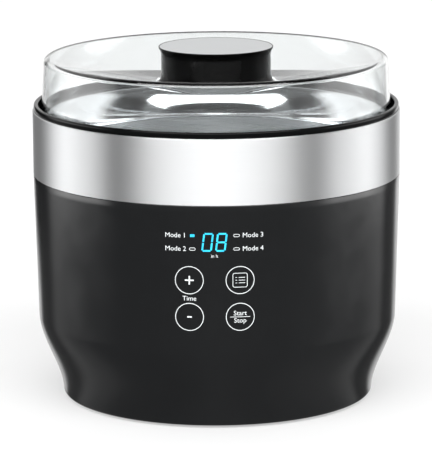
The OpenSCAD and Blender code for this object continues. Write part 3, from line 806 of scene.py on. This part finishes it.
class YM_OT_jars(YogurtMakerStep, bpy.types.Operator):
    """Seven pressed glass jars with push-on caps"""
    bl_idname = "yogurt_maker.jars"
    bl_label = "Jars"

    def execute(self, context):
        glass = clear_plastic("pressed_soda_lime_glass", colours().glass, 1.52)
        white = matt_solid("moulded_white_polypropylene", colours().cap, 0.4, 1.5, 0.004)
        wall, skin = 2.6 * MM, 1.4 * MM                   # of the glass, and of the cap
        lip, punt, sunk = 1.1 * MM, 1.2 * MM, 0.4 * MM    # jar's mouth, hollow under it, cap's middle
        for k in JARS:
            low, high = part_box(f"jar_{k}")
            at = ((low.x + high.x) / 2, (low.y + high.y) / 2)
            r = (high.x - low.x) / 2
            cap_low, cap_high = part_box(f"jar_cap_{k}")
            cap_r = (cap_high.x - cap_low.x) / 2
            neck_r = cap_r - skin - 0.35 * MM
            shoulder, neck = high.z - 16 * MM, high.z - 10 * MM
            floor = low.z + 3.2 * MM
            jar = turned(f"jar_{k}", rounded([
                (0, low.z + punt, 0), (r - 9 * MM, low.z + 1.0 * MM, 2 * MM),
                (r - 6 * MM, low.z, 1.5 * MM), (r, low.z, 4.5 * MM), (r, shoulder + 3.5 * MM, 5 * MM),
                (neck_r, neck - 0.5 * MM, 1.2 * MM), (neck_r, high.z, lip),
                (neck_r - wall, high.z, lip), (neck_r - wall, neck - 1 * MM, 2 * MM),
                (r - wall, shoulder + 2 * MM, 3 * MM), (r - wall, floor, 3 * MM), (0, floor, 0)],
                closed=False),
                closed=False, at=at, around=72)
            dress(jar, glass)
            ride(jar, f"jar_{k}_body", "jar_glass", f"jar_{k}")
            cap = turned(f"jar_cap_{k}", rounded([
                (0, high.z, 0), (cap_r - skin, high.z, 0.4 * MM), (cap_r - skin, cap_low.z, 0.3 * MM),
                (cap_r, cap_low.z, 0.4 * MM), (cap_r, cap_high.z, 1 * MM),
                (cap_r - 3 * MM, cap_high.z, 0.3 * MM), (cap_r - 3 * MM - sunk, cap_high.z - sunk, 0.3 * MM),
                (0, cap_high.z - sunk, 0)], closed=False),
                closed=False, at=at, around=72)
            dress(cap, white)
            ride(cap, f"cap_{k}_body", "cap_white", f"jar_cap_{k}")
        return {"FINISHED"}


class YM_OT_inside(YogurtMakerStep, bpy.types.Operator):
    """Finishes of the foot, gland, boards, heaters and fasteners"""
    bl_idname = "yogurt_maker.inside"
    bl_label = "Foot and inner parts"

    def execute(self, context):
        plated = satin_metal("zinc_plated_steel", "#c4c7c9", 0.28, 0.3)
        board = matt_solid("green_solder_resist", "#1f5a33", 0.3, 2.0, 0.004)
        finishes = {
            "base_plate": matt_solid("grained_black_abs", "#1a1b1c", 0.5, 0.7, 0.02),
            "rubber_feet": matt_solid("moulded_black_rubber", "#232425", 0.75, 0.6, 0.015),
            "cord_gland": matt_solid("black_polyamide_gland", "#131415", 0.45, 0.8, 0.01),
            "base_screws": plated, "board_screws": plated, "knob_screw": plated,
            "bottom_heater": satin_metal("cast_aluminium_heater", "#b4b7ba", 0.45, 0.8),
            "belt_heater": matt_solid("orange_silicone_belt", "#b8621f", 0.6, 1.0, 0.01),
            "insulation_sleeve": matt_solid("glass_fibre_felt", "#d8d4c8", 0.9, 1.5, 0.15),
            "temperature_sensor": satin_metal("nickel_plated_sensor", "#c2c3c0", 0.2, 0.4),
            "sensor_bracket": satin_metal("bent_steel_strip", "#b9bcbf", 0.35, 0.5),
            "thermal_fuse": matt_solid("ceramic_fuse_body", "#e6e0d0", 0.5, 1.0, 0.01),
            "power_board": board, "control_board": board,
            "power_components": matt_solid("moulded_component_resin", "#b59a3c", 0.4, 1.5, 0.006),
            "terminal_block": matt_solid("white_polyamide_block", "#e8e5da", 0.45, 1.2, 0.008),
            "processor_and_buzzer": matt_solid("black_epoxy_package", "#1a1a1c", 0.45, 0.8, 0.006),
            "display_module": matt_solid("white_display_reflector", "#dedfdb", 0.4, 1.0, 0.004),
            "display_shroud": matt_solid("black_shroud_abs", "#121213", 0.55, 0.8, 0.01),
            "indicator_leds": clear_plastic("clear_led_resin", "#f2fbfc", 1.5, 0.1),
            "light_guides": clear_plastic("clear_acrylic_guide", "#f4fcff", 1.49, 0.05),
            "touch_springs": satin_metal("bronze_spring_wire", "#b98f52", 0.25, 0.4),
            "knob_seal": matt_solid("clear_silicone_seal", "#d9dad8", 0.5, 1.2, 0.006),
        }
        for node, material in finishes.items():
            dress(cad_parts[node], material)
        return {"FINISHED"}


class YM_OT_stage(YogurtMakerStep, bpy.types.Operator):
    """White sweep, studio light and camera"""
    bl_idname = "yogurt_maker.stage"
    bl_label = "Stage"

    def execute(self, context):
        reach = 14.0
        floor_points = reach * np.array([[-1, -1, 0], [1, -1, 0], [1, 1, 0], [-1, 1, 0]])
        floor = new_mesh("floor", floor_points, np.arange(4), np.array([0]), smooth=False)
        floor.data.materials.append(self.floor_material())
        floor.visible_glossy = False
        self.make_world(context.scene)
        self.make_lights()
        self.make_camera(context.scene)
        context.scene.view_settings.view_transform = "Standard"
        return {"FINISHED"}

    @staticmethod
    def floor_material():
        """Matt white sweep, with the faint unevenness of painted board, lit as one with the studio."""
        return patterned("matt_white_sweep", "#a9a9a9", (1, 1.026), 1.0, None, 0, [(40, 2, 0.5)],
                         {"Specular IOR Level": 0.0, "Emission Strength": 0.45,
                          "Emission Color": (1, 1, 1, 1)})[0]

    @staticmethod
    def make_lights():
        """A large box of light overhead, which mirrors and glass don't show."""
        lamp = bpy.data.lights.new("overhead_softbox", "AREA")
        lamp.shape, lamp.size, lamp.size_y, lamp.energy = "RECTANGLE", 1.6, 1.2, 9
        holder = bpy.data.objects.new("overhead_softbox", lamp)
        holder.location = (0.0, 0.1, 1.9)
        holder.visible_glossy = holder.visible_transmission = False
        bpy.context.scene.collection.objects.link(holder)

    @staticmethod
    def make_camera(scene):
        """A long lens a little above the rim, turned a touch to the right of the panel's middle.

        The camera stands at the distance and height, looks along the azimuth, pitches down from the
        level and rolls about its own axis.
        """
        data = bpy.data.cameras.new("camera")
        data.lens, data.sensor_width, data.sensor_fit = 267.0, 36.0, "AUTO"
        data.shift_x = -0.00185
        data.clip_end = 100
        camera = bpy.data.objects.new("camera", data)
        distance, height = 2.2, 0.5666
        azimuth, pitch, roll = math.radians(0.74), math.radians(11.78), math.radians(-0.303)
        camera.matrix_world = (
            Matrix.Translation(Vector((distance * math.sin(azimuth), -distance * math.cos(azimuth), height)))
            @ Matrix.Rotation(azimuth, 4, "Z") @ Matrix.Rotation(math.pi / 2 - pitch, 4, "X")
            @ Matrix.Rotation(roll, 4, "Z"))
        scene.collection.objects.link(camera)
        scene.camera = camera

    @staticmethod
    def make_world(scene):
        """Studio seen in reflections: strips of light and flags by bearing, boxes of light above.

        A bearing is 0 towards the camera and positive to the right, and a rise is measured from the
        level. Both are in degrees here and in radians in the nodes. Levels are of light, 1 for white.
        """
        world = bpy.data.worlds.new("studio")
        world.use_nodes = True
        scene.world = world
        tree = world.node_tree
        tree.nodes.clear()
        gain = 2.0    # a ramp's colours stay below 1, so the levels are stored divided by this
        way = add_node(tree, "ShaderNodeTexCoord").outputs["Generated"]
        axes = add_node(tree, "ShaderNodeSeparateXYZ", {0: way}).outputs
        front = add_node(tree, "ShaderNodeMath", {0: axes[1], 1: -1.0}, operation="MULTIPLY").outputs[0]
        bearing = add_node(tree, "ShaderNodeMath", {0: axes[0], 1: front}, operation="ARCTAN2").outputs[0]
        turn = add_node(tree, "ShaderNodeMapRange",
                        {"Value": bearing, "From Min": -math.pi, "From Max": math.pi}).outputs[0]
        rise = add_node(tree, "ShaderNodeMath", {0: axes[2]}, operation="ARCSINE").outputs[0]
        aside = add_node(tree, "ShaderNodeMath", {0: bearing}, operation="ABSOLUTE").outputs[0]

        def strips(*stops):
            """Grey levels by bearing, eased from stop to stop."""
            made = add_node(tree, "ShaderNodeValToRGB", {"Fac": turn})
            ramp = made.color_ramp
            ramp.interpolation = "EASE"
            while len(ramp.elements) > 1:
                ramp.elements.remove(ramp.elements[-1])
            for n, (degrees, level) in enumerate(stops):
                place = (degrees + 180) / 360
                stop = ramp.elements[0] if n == 0 else ramp.elements.new(place)
                stop.position = place
                stop.color = (level / gain, level / gain, level / gain, 1)
            return made.outputs[0]

        def stacked(below, over, degrees, soft):
            """One picture below a rise and another over it, blended across soft degrees."""
            share = add_node(tree, "ShaderNodeMapRange", {
                "Value": rise, "From Min": math.radians(degrees - soft / 2),
                "From Max": math.radians(degrees + soft / 2)}, interpolation_type="SMOOTHSTEP").outputs[0]
            return add_node(tree, "ShaderNodeMix", {0: share, 6: below, 7: over}, data_type="RGBA").outputs[2]

        def lit_box(behind, level, *sides):
            """A box of light over what is behind it. Each side is (value, low, high, soft): the box is
            full where every value lies between low and high, and fades over soft outside them."""
            inside = 1.0
            for value, low, high, soft in sides:
                for outer, inner in ((low - soft, low), (high + soft, high)):
                    edge = add_node(tree, "ShaderNodeMapRange", {
                        "Value": value, "From Min": math.radians(outer), "From Max": math.radians(inner)})
                    inside = add_node(tree, "ShaderNodeMath", {0: inside, 1: edge.outputs[0]},
                                      operation="MULTIPLY").outputs[0]
            light = (level / gain, level / gain, level / gain, 1)
            return add_node(tree, "ShaderNodeMix", {0: inside, 6: behind, 7: light},
                            data_type="RGBA").outputs[2]

        ground = strips((-180, 0.86), (-160, 0.86), (-152, 0.1), (-136, 0.1), (-122, 0.4), (-104, 0.33),
                        (-84, 0.2), (-70, 0.18), (-40, 0.18), (0, 0.25), (40, 0.22), (62, 0.26), (84, 0.28),
                        (104, 0.28), (126, 0.4), (136, 0.1), (152, 0.1), (160, 0.86), (180, 0.86))
        walls = strips((-180, 0.86), (-166, 0.86), (-159, 0.03), (-135, 0.03), (-118, 1.5), (-92, 2.0),
                       (-78, 0.7), (-64, 0.2), (-44, 0.25), (0, 0.25), (42, 0.3), (54, 0.5), (66, 0.8),
                       (82, 1.7), (122, 1.7), (136, 0.12), (150, 0.12), (160, 1.2), (180, 0.86))
        upper = strips((-180, 0.86), (-128, 1.2), (-112, 1.5), (-104, 0.9), (-96, 0.03), (-66, 0.02),
                       (-60, 0.3), (60, 0.3), (66, 0.02), (96, 0.03), (104, 0.9), (112, 1.5), (128, 1.2),
                       (180, 0.86))
        sky = strips((-180, 0.4), (-100, 0.12), (-62, 0.2), (62, 0.2), (100, 0.12), (180, 0.4))
        view = stacked(ground, walls, -12.5, 1.2)
        view = stacked(view, upper, 11, 5)
        view = stacked(view, sky, 49, 8)
        # the low front strip, the pair of side boxes, and the large front box whose foot bows upwards
        view = lit_box(view, 1.5, (bearing, -60.2, 60.2, 1.7), (rise, 4, 9.2, 1.1))
        view = lit_box(view, 3.4, (aside, 80.2, 107.7, 14.3), (rise, -11.5, 10.9, 0.7))
        square = add_node(tree, "ShaderNodeMath", {0: bearing, 1: bearing}, operation="MULTIPLY").outputs[0]
        bow = add_node(tree, "ShaderNodeMath", {0: square, 1: 0.42}, operation="MULTIPLY").outputs[0]
        lifted = add_node(tree, "ShaderNodeMath", {0: rise, 1: bow}, operation="SUBTRACT").outputs[0]
        view = lit_box(view, 5.4, (bearing, -64.7, 64.7, 1.7), (lifted, 13.8, 63, 1.7),
                       (rise, 0, 55.6, 1.7))
        studio = add_node(tree, "ShaderNodeBackground", {"Color": view, "Strength": gain})
        white = add_node(tree, "ShaderNodeBackground", {"Color": (1, 1, 1, 1), "Strength": 1.0})
        seen = add_node(tree, "ShaderNodeLightPath").outputs["Is Camera Ray"]
        both = add_node(tree, "ShaderNodeMixShader", {0: seen, 1: studio.outputs[0], 2: white.outputs[0]})
        add_node(tree, "ShaderNodeOutputWorld", {"Surface": both.outputs[0]})


STEPS = (YM_OT_stage, YM_OT_housing, YM_OT_band, YM_OT_ring, YM_OT_pot, YM_OT_lid, YM_OT_knob,
         YM_OT_panel, YM_OT_display, YM_OT_jars, YM_OT_inside)


class YM_PT_panel(bpy.types.Panel):
    """Lists the steps in the order in which they are run"""
    bl_idname = "YM_PT_panel"
    bl_label = "Yogurt Maker"
    bl_space_type = "VIEW_3D"
    bl_region_type = "UI"
    bl_category = "Yogurt Maker"

    def draw(self, context):
        for step in STEPS:
            self.layout.operator(step.bl_idname)


CLASSES = (YogurtMakerSizes, YogurtMakerColours, *STEPS, YM_PT_panel)


def register():
    for cls in CLASSES:
        bpy.utils.register_class(cls)
    bpy.types.Scene.yogurt_maker_sizes = bpy.props.PointerProperty(type=YogurtMakerSizes)
    bpy.types.Scene.yogurt_maker_colours = bpy.props.PointerProperty(type=YogurtMakerColours)


def unregister():
    del bpy.types.Scene.yogurt_maker_colours
    del bpy.types.Scene.yogurt_maker_sizes
    for cls in reversed(CLASSES):
        bpy.utils.unregister_class(cls)


def main():
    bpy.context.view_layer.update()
    register()
    for step in STEPS:
        group, name = step.bl_idname.split(".")
        getattr(getattr(bpy.ops, group), name)()


if __name__ == "__main__":
    main()
